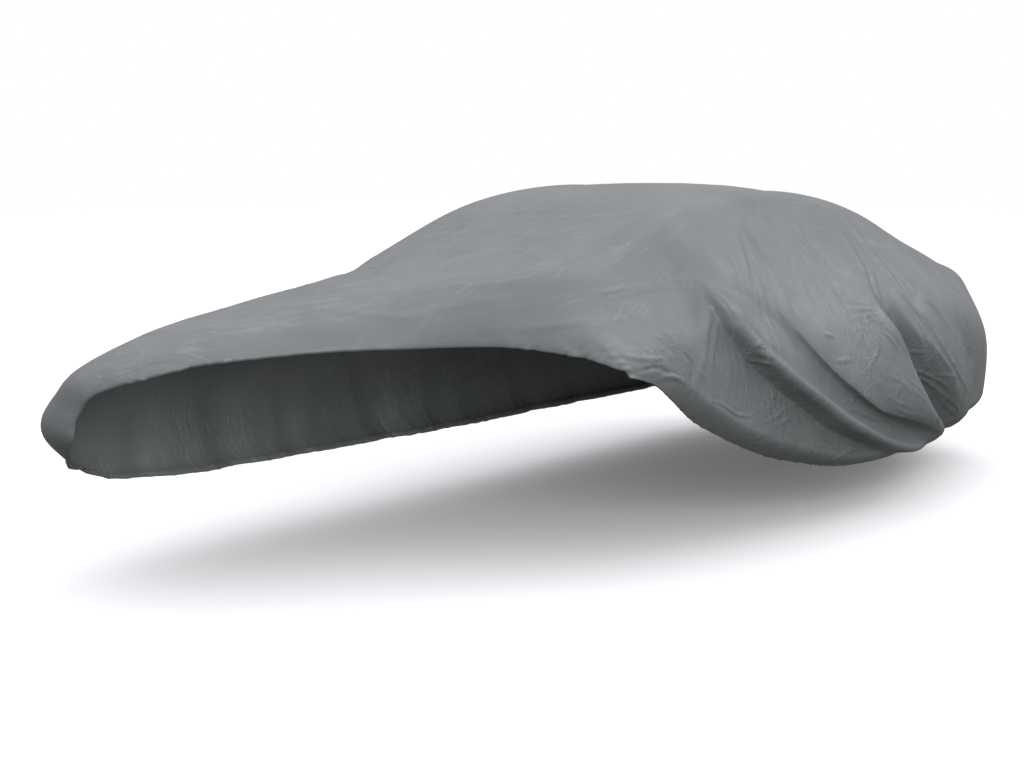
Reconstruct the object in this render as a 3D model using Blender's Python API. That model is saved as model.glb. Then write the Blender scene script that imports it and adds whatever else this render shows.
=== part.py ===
"""A fitted car cover of thin grey film, in the shape in which it lies over a saloon.

The front near corner is drawn back, so its front hem crosses the bonnet and runs
down the front door. All sizes are metres. The tables are measured from the ground
and from the foremost point of the body, +X to the tail, -Y the near side, and the
whole cover is then moved so that the middle of its roof rests on the origin.
"""

import bpy
import numpy as np

# ---- driving dimensions -------------------------------------------------------------
FILM = 0.002                    # thickness of the film
ROOF_TOP = 1.53                 # height of the roof's middle over the ground
ROOF_MIDDLE = 2.85              # how far the middle of the roof lies behind the nose
GREY = (0.205, 0.22, 0.235, 1.0)

# ---- ribs: lines over the cover from its far hem to its near hem ---------------------
# A row is a rib's name, how many faces lie between it and the rib before it, and its
# points: far hem, far waist, far rail, crown, near rail, near waist and near hem. A
# rail is the edge where the roof or the bonnet turns down into a side.
FACES_ACROSS = (5, 4, 4, 5, 12, 14)     # faces between each of those points and the next
# The drawn-back front bends more sharply, so its three ribs also have the points
# half way between: far side, far top, near top and near side.
FRONT_RIBS = (
    ("front hem", 0, (.10, .86, .48), (.03, .61, .62), (.035, .56, .74), (.06, .47, .83),
     (.20, .26, .915), (.55, .19, .95), (1.05, -.13, .968), (1.33, -.50, .97),
     (1.44, -.70, .948), (1.53, -.85, .905), (1.60, -.92, .85)),
    ("brow", 2, (.36, .95, .37), (.09, .86, .62), (.10, .77, .76), (.13, .64, .87),
     (.33, .40, .965), (.68, .26, 1.02), (1.14, -.12, 1.05), (1.42, -.52, 1.085),
     (1.52, -.73, 1.04), (1.60, -.87, .96), (1.69, -.945, .82)),
    ("tent ridge", 3, (.70, .97, .32), (.42, .95, .68), (.36, .84, .86), (.42, .67, .97),
     (.60, .48, 1.01), (.90, .29, 1.065), (1.24, -.12, 1.12), (1.53, -.59, 1.18),
     (1.61, -.74, 1.11), (1.71, -.87, 1.01), (1.81, -.955, .75)),
)
RIBS = (
    ("bonnet", 4, (1.20, .98, .30), (1.00, .99, .70), (.88, .67, 1.055), (1.26, .12, 1.125),
     (1.70, -.645, 1.24), (1.87, -.90, .99), (2.03, -.965, .61)),
    ("windscreen", 6, (1.80, .98, .29), (1.62, .99, .75), (1.46, .65, 1.155), (1.80, .0, 1.33),
     (2.13, -.61, 1.37), (2.28, -.91, 1.03), (2.46, -.98, .40)),
    ("roof front", 7, (2.30, .98, .28), (2.20, 1.0, .85), (2.12, .60, 1.42), (2.26, .0, 1.50),
     (2.44, -.60, 1.43), (2.58, -.93, 1.03), (2.78, -.99, .30)),
    ("roof", 8, (2.90, .98, .28), (2.85, 1.0, .88), (2.85, .60, 1.49), (2.85, .0, ROOF_TOP),
     (2.85, -.60, 1.475), (2.88, -.95, 1.00), (3.12, -1.0, .225)),
    ("roof rear", 8, (3.40, .98, .28), (3.35, 1.0, .88), (3.32, .59, 1.43), (3.32, .0, 1.505),
     (3.32, -.59, 1.45), (3.32, -.96, 1.00), (3.50, -1.0, .20)),
    ("rear window", 8, (3.90, .98, .28), (3.80, .99, .86), (3.77, .59, 1.375), (3.80, .0, 1.42),
     (3.77, -.59, 1.36), (3.75, -.96, .96), (3.86, -.98, .22)),
    ("boot front", 5, (4.28, .96, .28), (4.22, .97, .84), (4.17, .60, 1.205), (4.22, .0, 1.24),
     (4.17, -.60, 1.215), (4.15, -.94, .88), (4.17, -.93, .23)),
    ("boot", 3, (4.56, .90, .28), (4.58, .91, .78), (4.56, .60, 1.06), (4.64, .0, 1.115),
     (4.56, -.61, 1.07), (4.50, -.90, .78), (4.44, -.88, .23)),
    ("tail edge", 3, (4.74, .82, .28), (4.82, .81, .67), (4.84, .58, .98), (4.92, .0, 1.05),
     (4.84, -.59, .965), (4.73, -.81, .67), (4.70, -.835, .24)),
    ("tail face", 3, (4.84, .74, .28), (4.92, .68, .48), (4.96, .44, .63), (5.01, .0, .69),
     (4.96, -.44, .63), (4.86, -.71, .48), (4.82, -.765, .26)),
    ("rear hem", 2, (4.88, .66, .28), (4.93, .50, .28), (4.96, .30, .28), (4.97, .0, .28),
     (4.95, -.30, .28), (4.91, -.50, .28), (4.86, -.68, .28)),
)
RAIL_IN = 0.30                  # how far in from a rail the top is flat, as a share
RAIL_OUT = 0.30                 # how far down from a rail the side is flat, as a share
ROOF_SWELL = 0.012              # how much the top swells between crown and rail
SIDE_SWELL = 0.015              # how much a side swells between rail and waist

# ---- the elastic hem: how far each edge is drawn in, and the band that turns with it --
HEMS = (("front", .016, .07), ("rear", .050, .12), ("far", .050, .12), ("near", .050, .12))
HEM_START = 1.0                 # how far from the front hem a side's hem is fully drawn in
MIDDLE_FRONT = 0.90             # the line inside the body to which the elastic draws the hem
MIDDLE_REAR = 4.20
MIDDLE_HEIGHT = 0.32

# ---- folds: each stands proud of the ribs along a line that runs down one view -------
# A row is a place on the line in that view, how proud the fold stands there, and how
# far it reaches towards the front and towards the rear. The pocket sinks instead.
FOLDS = (
    ("front swag", "near", (
        (2.54, 1.46, .000, .18, .30), (2.33, 1.31, .010, .15, .30), (2.19, 1.18, .016, .11, .28),
        (2.14, 1.08, .034, .09, .25), (2.20, .98, .056, .09, .22), (2.32, .90, .075, .09, .19),
        (2.48, .80, .080, .09, .17), (2.66, .69, .080, .09, .15), (2.83, .58, .078, .09, .13),
        (3.10, .47, .070, .08, .11), (3.39, .34, .055, .07, .09), (3.88, .26, .030, .05, .05))),
    ("rear swag", "near", (
        (2.58, 1.04, .000, .08, .20), (2.61, .95, .010, .07, .24), (2.65, .885, .034, .07, .26),
        (2.71, .835, .055, .07, .29), (2.79, .775, .070, .07, .31), (3.00, .65, .075, .07, .27),
        (3.30, .51, .065, .06, .20), (3.58, .41, .050, .06, .11), (3.90, .30, .030, .05, .05))),
    ("flap edge", "near", (
        (3.43, 1.42, .000, .32, .06), (3.36, 1.14, .008, .33, .06), (3.30, 1.00, .030, .33, .05),
        (3.30, .92, .048, .32, .05), (3.34, .84, .062, .30, .05), (3.40, .73, .075, .27, .05),
        (3.53, .59, .078, .20, .05), (3.71, .45, .064, .13, .05), (3.88, .31, .040, .08, .05))),
    ("pocket", "near", (
        (3.42, .96, .000, .06, .08), (3.49, .80, -.024, .06, .10), (3.64, .61, -.050, .06, .12),
        (3.81, .45, -.050, .06, .11), (3.95, .31, -.022, .05, .08))),
    ("tail swell", "near", (
        (3.56, 1.08, .000, .10, .30), (3.62, .90, .012, .12, .32), (3.73, .74, .040, .11, .36),
        (3.93, .56, .060, .11, .36), (4.12, .42, .052, .11, .30), (4.16, .30, .025, .11, .25))),
    ("tent ridge", "top", (
        (1.11, .18, .000, .16, .30), (1.20, -.02, .008, .16, .30), (1.27, -.22, .012, .16, .28),
        (1.43, -.50, .014, .16, .25), (1.68, -.64, .014, .18, .22), (1.94, -.64, .010, .20, .20),
        (2.30, -.62, .000, .20, .20))),
)

# ---- drops: soft folds that hang to the hem where nothing pulls on the cover ---------
# view, place and height of its head, place of its foot, how proud, how far it reaches
DROPS = (
    ("far", .62, .80, .55, .020, .13), ("far", .98, .86, 1.04, .028, .16),
    ("far", 1.42, .92, 1.38, .018, .12), ("far", 1.85, .95, 1.96, .030, .17),
    ("far", 2.40, 1.00, 2.34, .024, .15), ("far", 2.92, .98, 3.02, .030, .18),
    ("far", 3.46, .96, 3.38, .022, .14), ("far", 3.95, .90, 4.08, .028, .15),
    ("far", 4.42, .80, 4.36, .020, .12), ("tail", .52, .82, .46, .022, .13),
    ("tail", .14, .88, .20, .028, .16), ("tail", -.22, .84, -.16, .020, .12),
    ("tail", -.50, .80, -.58, .024, .13), ("near", 4.34, .84, 4.26, .020, .10),
)
DROP_FOOT = .24                 # height of a drop's foot over the ground
FOLD_TOP = .03                  # how far from its line a fold still has both reaches mixed


def smooth_line(knots, values, where):
    """A smooth line through values at knots, read at where; the first axis runs along it."""
    knots = np.asarray(knots, float)
    values = np.asarray(values, float)
    step = np.diff(knots)
    slope = np.diff(values, axis=0) / step.reshape((-1,) + (1,) * (values.ndim - 1))
    tangent = np.empty_like(values)
    tangent[0] = slope[0]
    tangent[-1] = slope[-1]
    for k in range(1, len(knots) - 1):
        share = step[k] / (step[k - 1] + step[k])
        tangent[k] = share * slope[k - 1] + (1 - share) * slope[k]
    where = np.clip(np.asarray(where, float), knots[0], knots[-1])
    k = np.clip(np.searchsorted(knots, where, side="right") - 1, 0, len(knots) - 2)
    shape = (-1,) + (1,) * (values.ndim - 1)
    h = step[k].reshape(shape)
    u = ((where - knots[k]) / step[k]).reshape(shape)
    return ((2 * u**3 - 3 * u**2 + 1) * values[k] + (u**3 - 2 * u**2 + u) * h * tangent[k]
            + (3 * u**2 - 2 * u**3) * values[k + 1] + (u**3 - u**2) * h * tangent[k + 1])


def chord_knots(points):
    """Knots for lines that share them: the mean distance from each point to the next."""
    gaps = np.linalg.norm(np.diff(points, axis=0), axis=-1).mean(axis=1)
    knots = np.concatenate([[0.0], np.cumsum(gaps)])
    return knots / knots[-1]


def with_flats(rib):
    """A rib's points, with a point to each side of its rails that keeps the panels flat."""
    far_hem, far_waist, far_rail, crown, near_rail, near_waist, near_hem = np.array(rib)
    up = np.array((0, 0, ROOF_SWELL))
    out = np.array((0, SIDE_SWELL, 0))
    return np.array((
        far_hem, far_waist,
        far_rail + RAIL_OUT * (far_waist - far_rail) + out, far_rail,
        far_rail + RAIL_IN * (crown - far_rail) + up, crown,
        near_rail + RAIL_IN * (crown - near_rail) + up, near_rail,
        near_rail + RAIL_OUT * (near_waist - near_rail) - out,
        near_waist, near_hem))


ribs = np.array([row[2:] for row in FRONT_RIBS] + [with_flats(row[2:]) for row in RIBS])
along_knots = chord_knots(ribs)
across_knots = chord_knots(ribs.transpose(1, 0, 2))


def spread(knots, faces):
    """Places for the grid's lines: so many faces between each knot and the next."""
    runs = [np.linspace(knots[k], knots[k + 1], n, endpoint=False) for k, n in enumerate(faces)]
    return np.concatenate(runs + [knots[-1:]])


def lay_surface(along, across):
    """The cover's outer face before its folds, as a grid of points."""
    lines = smooth_line(along_knots, ribs, along)
    return smooth_line(across_knots, lines.transpose(1, 0, 2), across).transpose(1, 0, 2)


def outward(grid):
    """The unit vector out of the cover at each point, the mean of the faces around it."""
    face = np.cross(grid[:-1, 1:] - grid[1:, :-1], grid[1:, 1:] - grid[:-1, :-1])
    normal = np.zeros_like(grid)
    for i in (slice(None, -1), slice(1, None)):
        for j in (slice(None, -1), slice(1, None)):
            normal[i, j] += face
    return normal / np.linalg.norm(normal, axis=-1, keepdims=True)


def ease(value, low, high):
    """A smooth step from 0 at low to 1 at high."""
    u = np.clip((value - low) / (high - low), 0, 1)
    return u * u * (3 - 2 * u)


def fold_height(rows, flat):
    """How proud one fold stands at each point of a view, where flat holds the points."""
    rows = np.array(rows)
    sign = -1 if rows[:, 2].min() < 0 else 1
    line = smooth_line(chord_knots(rows[:, None, :2]), rows, np.linspace(0, 1, 60))
    start, step = line[:-1, :2], np.diff(line[:, :2], axis=0)
    away = flat[..., None, :] - start
    share = np.clip((away * step).sum(-1) / (step**2).sum(-1), 0, 1)
    distance = np.linalg.norm(away - share[..., None] * step, axis=-1)
    row = line[:-1] + share[..., None] * (line[1:] - line[:-1])
    nearest = distance.argmin(-1)[..., None]
    turn = (step[:, 0] * away[..., 1] - step[:, 1] * away[..., 0]) / np.linalg.norm(step, axis=-1)
    to_the_rear = ease(np.take_along_axis(turn, nearest, -1), -FOLD_TOP, FOLD_TOP)
    width = row[..., 3] + to_the_rear * (row[..., 4] - row[..., 3])
    return sign * (sign * row[..., 2] * (1 - ease(distance, 0, width))).max(-1)


def seen_from(view, grid, normal):
    """The two axes of a view, and how much each point of the cover shows in it."""
    if view == "near":
        return (0, 2), ease(-grid[..., 1], .3, .55)
    if view == "far":
        return (0, 2), ease(grid[..., 1], .3, .55)
    if view == "tail":
        return (1, 2), ease(normal[..., 0], .3, .7)
    return (0, 1), ease(normal[..., 2], .2, .5)


def all_folds():
    """Every fold of the two tables: its view, and the rows along its line."""
    for name, view, rows in FOLDS:
        yield view, rows
    for view, head, height, foot, proud, reach in DROPS:
        middle = (head + foot) / 2
        yield view, ((head, height, 0, reach, reach),
                     (middle, (height + DROP_FOOT) / 2, proud * .7, reach * .8, reach),
                     (foot, DROP_FOOT, proud, reach * .7, reach * .9))


def raise_folds(grid):
    """The grid with every fold standing proud of it."""
    normal = outward(grid)
    lift = np.zeros(grid.shape[:2])
    for view, rows in all_folds():
        axes, here = seen_from(view, grid, normal)
        lift += here * fold_height(rows, grid[..., axes])
    return grid + lift[..., None] * normal


def inward(grid):
    """The unit vector from each point to the body's middle, where the elastic draws it."""
    middle = np.zeros_like(grid)
    middle[..., 0] = np.clip(grid[..., 0] + .3, MIDDLE_FRONT, MIDDLE_REAR)
    middle[..., 2] = MIDDLE_HEIGHT
    way = middle - grid
    return way / np.linalg.norm(way, axis=-1, keepdims=True)


def curl_hem(grid):
    """The grid with a band along each edge turned inwards, as the elastic draws it."""
    along = np.linalg.norm(np.diff(grid, axis=0), axis=-1)
    across = np.linalg.norm(np.diff(grid, axis=1), axis=-1)
    from_front = np.vstack([np.zeros(grid.shape[1]), np.cumsum(along, axis=0)])
    from_far = np.hstack([np.zeros((grid.shape[0], 1)), np.cumsum(across, axis=1)])
    gaps = {"front": from_front, "rear": from_front[-1:] - from_front,
            "far": from_far, "near": from_far[:, -1:] - from_far}
    pull = np.zeros(grid.shape[:2])
    for edge, drawn_in, band in HEMS:
        turned = drawn_in * np.clip(1 - gaps[edge] / band, 0, 1)**2
        if edge in ("far", "near"):
            turned *= .3 + .7 * ease(from_front, 0, HEM_START)
        pull = np.maximum(pull, turned)
    return grid + pull[..., None] * inward(grid)


def film(grid):
    """The vertices and faces of the film: the outer face, the inner face and the edge."""
    rows, columns = grid.shape[:2]
    inner = grid - FILM * outward(grid)
    points = np.concatenate([grid.reshape(-1, 3), inner.reshape(-1, 3)])
    below = rows * columns
    faces = []
    for i in range(rows - 1):
        for j in range(columns - 1):
            a, b = i * columns + j, (i + 1) * columns + j
            c, d = b + 1, a + 1
            if np.linalg.norm(points[a] - points[c]) < np.linalg.norm(points[b] - points[d]):
                halves = ((a, d, c), (a, c, b))
            else:
                halves = ((a, d, b), (d, c, b))
            faces += halves
            faces += [tuple(below + k for k in reversed(half)) for half in halves]
    edge = [i * columns for i in range(rows)]
    edge += [(rows - 1) * columns + j for j in range(1, columns)]
    edge += [i * columns + columns - 1 for i in range(rows - 2, -1, -1)]
    edge += [j for j in range(columns - 2, 0, -1)]
    for a, b in zip(edge, edge[1:] + edge[:1]):
        faces.append((a, b, below + b, below + a))
    return points, faces


def grey_film():
    """Grey plastic film with a soft gloss."""
    material = bpy.data.materials.new("grey film")
    material.use_nodes = True
    shader = material.node_tree.nodes["Principled BSDF"]
    shader.inputs["Base Color"].default_value = GREY
    shader.inputs["Roughness"].default_value = 0.48
    shader.inputs["Metallic"].default_value = 0.0
    return material


def build_cover():
    """The cover: one closed sheet, whose roof's underside lies on the origin."""
    along = spread(along_knots, [row[1] for row in (FRONT_RIBS + RIBS)[1:]])
    across = spread(across_knots[[0, 1, 3, 5, 7, 9, 10]], FACES_ACROSS)
    grid = curl_hem(raise_folds(lay_surface(along, across)))
    points, faces = film(grid)
    points -= (ROOF_MIDDLE, 0, ROOF_TOP - FILM)
    mesh = bpy.data.meshes.new("cover")
    mesh.from_pydata(points.tolist(), [], faces)
    mesh.shade_smooth()
    mesh.materials.append(grey_film())
    cover = bpy.data.objects.new("cover", mesh)
    bpy.context.scene.collection.objects.link(cover)
    return cover


def main():
    for old in list(bpy.data.objects):
        bpy.data.objects.remove(old, do_unlink=True)
    cover = build_cover()
    size = [max(v.co[k] for v in cover.data.vertices) - min(v.co[k] for v in cover.data.vertices)
            for k in range(3)]
    print("cover", [round(value, 3) for value in size], len(cover.data.polygons), "faces")


main()
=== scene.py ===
# %% [markdown]
# # A fitted car cover of plastic film
#
# The real thing is a thin grey film, cut and welded to a body's shape, with an elastic in its
# hem. Here its front near corner is drawn back, so that long diagonal folds run down to the hem.
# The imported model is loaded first. It is the fixed frame: the origin is where the cover's roof
# rests, +X runs to the tail, and the near side is at -Y.

# %% The frame
import math
import bpy
import numpy as np
from mathutils import Euler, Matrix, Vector


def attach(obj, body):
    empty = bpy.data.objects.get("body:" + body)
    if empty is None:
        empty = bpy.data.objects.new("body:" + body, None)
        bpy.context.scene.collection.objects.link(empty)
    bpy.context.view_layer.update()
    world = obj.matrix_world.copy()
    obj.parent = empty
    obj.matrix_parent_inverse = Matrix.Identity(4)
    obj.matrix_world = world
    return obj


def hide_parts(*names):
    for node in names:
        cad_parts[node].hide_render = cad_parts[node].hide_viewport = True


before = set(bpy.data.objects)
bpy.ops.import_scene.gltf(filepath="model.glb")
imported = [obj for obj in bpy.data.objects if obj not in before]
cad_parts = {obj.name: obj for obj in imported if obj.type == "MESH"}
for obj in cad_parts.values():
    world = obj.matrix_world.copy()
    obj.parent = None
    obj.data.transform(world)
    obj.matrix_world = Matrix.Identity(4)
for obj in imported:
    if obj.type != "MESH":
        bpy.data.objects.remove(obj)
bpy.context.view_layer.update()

# %% [markdown]
# The sizes are told from the ground and from the foremost point of the body, because that is
# how a maker measures one. One shift then carries them into the frame.

# %% Driving sizes
ROOF_TOP = 1.53                  # m from the ground to the middle of the cover's roof
ROOF_MIDDLE = 2.85               # m from the foremost point to the middle of the roof
FILM = 0.002                     # m, the solid's thickness, under which the origin lies
SHIFT = np.array((ROOF_MIDDLE, 0, ROOF_TOP - FILM))
GROUND = -float(SHIFT[2])

# %% [markdown]
# ## Camera
# The photograph was taken from in front of the near side, a little above the roof. A camera's
# place, turn and lens are three separate facts, so each is written down once and used as it is.

# %% Camera
CAMERA_PLACE = (-2.5876, -4.2183, 1.7168)   # m, from the foremost point and the ground
CAMERA_YAW = 46.511                          # degrees to the right of the +Y direction
CAMERA_PITCH = 9.612                         # degrees down from level
CAMERA_ROLL = -0.133
LENS = 49.786                                # mm on a sensor 36 mm wide


def place_camera():
    data = bpy.data.cameras.new("camera")
    data.lens = LENS
    data.sensor_width = 36.0
    data.clip_end = 100.0
    camera = bpy.data.objects.new("camera", data)
    camera.location = Vector(CAMERA_PLACE) - Vector(SHIFT)
    turn = Euler((math.radians(90 - CAMERA_PITCH), 0, -math.radians(CAMERA_YAW)))
    roll = Euler((0, 0, math.radians(CAMERA_ROLL)))
    camera.rotation_euler = (turn.to_matrix() @ roll.to_matrix()).to_euler()
    bpy.context.scene.collection.objects.link(camera)
    bpy.context.scene.camera = camera
    return camera


camera = place_camera()
print("camera at", [round(v, 3) for v in camera.location])

# %% [markdown]
# ## Adding nodes, and colours from hex
# Every finish below is a small graph of nodes. One function adds a node, sets it and links it,
# and one turns a colour, an sRGB hex value, into the linear one a shader needs.

# %% Helpers for finishes
def linear(hex_colour, alpha=1.0):
    """An sRGB hex colour as linear red, green, blue and alpha."""
    values = [int(hex_colour[k:k + 2], 16) / 255 for k in (0, 2, 4)]
    return tuple(v / 12.92 if v <= 0.04045 else ((v + 0.055) / 1.055)**2.4 for v in values) + (alpha,)


def add(tree, kind, settings=None, **inputs):
    """One node: its settings, then its inputs by name, each a value or another node's socket."""
    node = tree.nodes.new(kind)
    for name, value in (settings or {}).items():
        setattr(node, name, value)
    for name, value in inputs.items():
        socket = node.inputs[int(name[1:]) if name[1:].isdigit() else name.replace("_", " ")]
        if isinstance(value, bpy.types.NodeSocket):
            tree.links.new(value, socket)
        else:
            socket.default_value = value
    return node


def set_stops(ramp, stops):
    """The stops of a colour ramp, each a place and a colour, in order of their places."""
    while len(ramp.color_ramp.elements) < len(stops):
        ramp.color_ramp.elements.new(1.0)
    for stop, (where, colour) in zip(ramp.color_ramp.elements, stops):
        stop.position = where
        stop.color = colour


# %% [markdown]
# ## Studio
# A plain white floor under a soft sky, one large lamp by the camera and a weaker one behind the
# tail, as for a catalogue picture. The floor is not part of the object.

# %% Floor and light
def plain_floor():
    bpy.ops.object.select_all(action="DESELECT")
    bpy.ops.mesh.primitive_plane_add(size=60, location=(0, 0, GROUND))
    floor = bpy.context.object
    floor.name = "studio_floor"
    finish = bpy.data.materials.new("matt white studio paint")
    finish.use_nodes = True
    shader = finish.node_tree.nodes["Principled BSDF"]
    shader.inputs["Base Color"].default_value = linear("FFFFFF")
    shader.inputs["Roughness"].default_value = 0.9
    shader.inputs["Specular IOR Level"].default_value = 0.1
    shader.inputs["Emission Color"].default_value = linear("FFFFFF")
    shader.inputs["Emission Strength"].default_value = 0.10
    floor.data.materials.append(finish)
    floor.visible_diffuse = False
    floor.visible_glossy = False


def soft_lamp(name, place, aim, size, power):
    """A square lamp: its place, aim and size in m, and its power in W."""
    data = bpy.data.lights.new(name, "AREA")
    data.shape = "RECTANGLE"
    data.size, data.size_y = size
    data.energy = power
    lamp = bpy.data.objects.new(name, data)
    lamp.location = place
    lamp.rotation_euler = (Vector(aim) - Vector(place)).to_track_quat("-Z", "Y").to_euler()
    bpy.context.scene.collection.objects.link(lamp)


def sky_dome(strength, overhead, side, below):
    """Light from all round, a cool white overhead and darker towards the ground."""
    world = bpy.data.worlds.new("studio")
    world.use_nodes = True
    tree = world.node_tree
    tree.nodes.clear()
    place = add(tree, "ShaderNodeTexCoord")
    height = add(tree, "ShaderNodeSeparateXYZ", Vector=place.outputs["Generated"])
    blend = add(tree, "ShaderNodeMapRange", i0=height.outputs["Z"], i1=-0.5, i2=0.9)
    ramp = add(tree, "ShaderNodeValToRGB", i0=blend.outputs[0])
    set_stops(ramp, [(0.0, (below, below, below, 1)), (0.42, (side, side, side, 1)),
                     (1.0, (overhead, .985 * overhead, 1.045 * overhead, 1))])
    lit = add(tree, "ShaderNodeBackground", i0=ramp.outputs[0], i1=strength)
    seen = add(tree, "ShaderNodeBackground", i0=linear("FFFFFF"), i1=1.0)
    ray = add(tree, "ShaderNodeLightPath")
    both = add(tree, "ShaderNodeMixShader", i0=ray.outputs["Is Camera Ray"],
               i1=lit.outputs[0], i2=seen.outputs[0])
    add(tree, "ShaderNodeOutputWorld", Surface=both.outputs[0])
    bpy.context.scene.world = world


plain_floor()
sky_dome(1.36, overhead=1.0, side=0.24, below=0.11)
soft_lamp("by the camera", (-4.4, -5.2, 1.4), (0, -0.4, -0.6), (3, 3), 176)
soft_lamp("behind the tail", (6.0, -4.0, 3.5), (0, -0.4, -0.6), (3, 3), 80)
bpy.context.scene.view_settings.view_transform = "Standard"
print("studio floor at", round(GROUND, 3))

# %% [markdown]
# ## Ribs
# The cover could be sculpted or simulated, but its shape is known from its outline, so it is
# laid over ribs instead: each rib is a line from the far hem over the top to the near hem, and
# a smooth surface runs through all of them. The drawn-back front needs eleven points a rib; for
# the others seven are enough, because the points beside the rails follow from them.

# %% The ribs
# A row is a rib's name, how many faces lie between it and the rib before it, how far its foot
# is swept towards the tail (in ribs), and its points from far hem to near hem.
FRONT_RIBS = (
    ("front hem", 0, 0, (.15, .87, .485), (.03, .61, .62), (.035, .56, .74), (.06, .47, .83),
     (.20, .26, .915), (.55, .19, .95), (1.05, -.13, .968), (1.33, -.50, .97),
     (1.44, -.70, .948), (1.53, -.85, .905), (1.60, -.92, .85)),
    ("brow", 9, 0, (.36, .95, .37), (.09, .86, .62), (.10, .77, .76), (.13, .64, .87),
     (.33, .40, .965), (.68, .26, 1.02), (1.14, -.12, 1.05), (1.42, -.52, 1.085),
     (1.52, -.73, 1.04), (1.60, -.87, .96), (1.69, -.945, .82)),
    ("tent ridge", 12, .05, (.70, .97, .32), (.42, .95, .68), (.36, .84, .86), (.42, .67, .97),
     (.60, .48, 1.01), (.90, .29, 1.065), (1.24, -.12, 1.12), (1.53, -.59, 1.18),
     (1.61, -.74, 1.11), (1.71, -.87, 1.01), (1.81, -.955, .75)),
)
RIBS = (
    ("bonnet", 24, .25, (1.20, .98, .30), (1.00, .99, .70), (.88, .67, 1.055),
     (1.26, .12, 1.125), (1.70, -.645, 1.24), (1.87, -.90, .99), (2.03, -.965, .61)),
    ("windscreen", 44, .65, (1.80, .98, .29), (1.62, .99, .75), (1.46, .65, 1.155),
     (1.80, 0, 1.33), (2.13, -.61, 1.37), (2.28, -.91, 1.03), (2.46, -.98, .40)),
    ("roof front", 52, 1.1, (2.30, .98, .28), (2.20, 1.0, .85), (2.12, .60, 1.41),
     (2.26, 0, 1.50), (2.44, -.60, 1.43), (2.58, -.93, 1.03), (2.78, -.99, .30)),
    ("roof", 54, 1.3, (2.90, .98, .28), (2.85, 1.0, .88), (2.85, .60, 1.49),
     (2.85, 0, ROOF_TOP), (2.85, -.60, 1.475), (2.88, -.95, 1.00), (3.12, -1.0, .225)),
    ("roof rear", 54, 1.1, (3.40, .98, .28), (3.35, 1.0, .88), (3.32, .59, 1.43),
     (3.32, 0, 1.505), (3.32, -.59, 1.45), (3.32, -.96, 1.00), (3.50, -1.0, .20)),
    ("rear window", 46, .45, (3.90, .98, .28), (3.80, .99, .86), (3.77, .59, 1.36),
     (3.80, 0, 1.41), (3.77, -.59, 1.36), (3.75, -.96, .96), (3.86, -.98, .22)),
    ("boot front", 32, .1, (4.28, .96, .28), (4.22, .97, .84), (4.17, .60, 1.205),
     (4.22, 0, 1.24), (4.17, -.60, 1.215), (4.15, -.94, .88), (4.17, -.93, .23)),
    ("boot", 18, 0, (4.56, .90, .28), (4.58, .91, .78), (4.56, .60, 1.06),
     (4.64, 0, 1.115), (4.56, -.61, 1.08), (4.50, -.90, .78), (4.44, -.88, .23)),
    ("tail edge", 15, 0, (4.74, .82, .28), (4.82, .81, .67), (4.84, .58, .98),
     (4.92, 0, 1.05), (4.85, -.61, .96), (4.75, -.82, .675), (4.70, -.835, .24)),
    ("tail face", 12, 0, (4.84, .74, .28), (4.92, .68, .48), (4.96, .44, .63),
     (5.01, 0, .69), (4.96, -.44, .63), (4.86, -.71, .48), (4.82, -.765, .26)),
    ("rear hem", 9, 0, (4.88, .66, .28), (4.93, .50, .28), (4.96, .30, .28),
     (4.97, 0, .28), (4.95, -.30, .28), (4.91, -.50, .28), (4.86, -.68, .28)),
)
FACES_ACROSS = (14, 12, 22, 36, 60, 96)     # between far hem, waist, rail, crown, rail, waist, hem
RAIL_IN = 0.30                   # how far in from a rail the top is flat, as a share
RAIL_OUT = 0.30                  # how far down from a rail the side is flat, as a share
ROOF_SWELL = 0.012
SIDE_SWELL = 0.015


def with_flats(points):
    """A rib's points, with one to each side of its rails that keeps the panels flat."""
    far_hem, far_waist, far_rail, crown, near_rail, near_waist, near_hem = np.array(points)
    up = np.array((0, 0, ROOF_SWELL))
    out = np.array((0, SIDE_SWELL, 0))
    return np.array((
        far_hem, far_waist,
        far_rail + RAIL_OUT * (far_waist - far_rail) + out, far_rail,
        far_rail + RAIL_IN * (crown - far_rail) + up, crown,
        near_rail + RAIL_IN * (crown - near_rail) + up, near_rail,
        near_rail + RAIL_OUT * (near_waist - near_rail) - out,
        near_waist, near_hem))


ribs = np.array([row[3:] for row in FRONT_RIBS] + [with_flats(row[3:]) for row in RIBS])
print(len(ribs), "ribs")

# %% [markdown]
# ## The surface through the ribs
# A cubic through unevenly spaced knots passes through each rib without waves. The rows of
# faces aren't laid straight down the side: their feet are swept to the tail, so that the rows
# run along the big folds, and a fold's edge is crisp instead of stepped.

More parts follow.
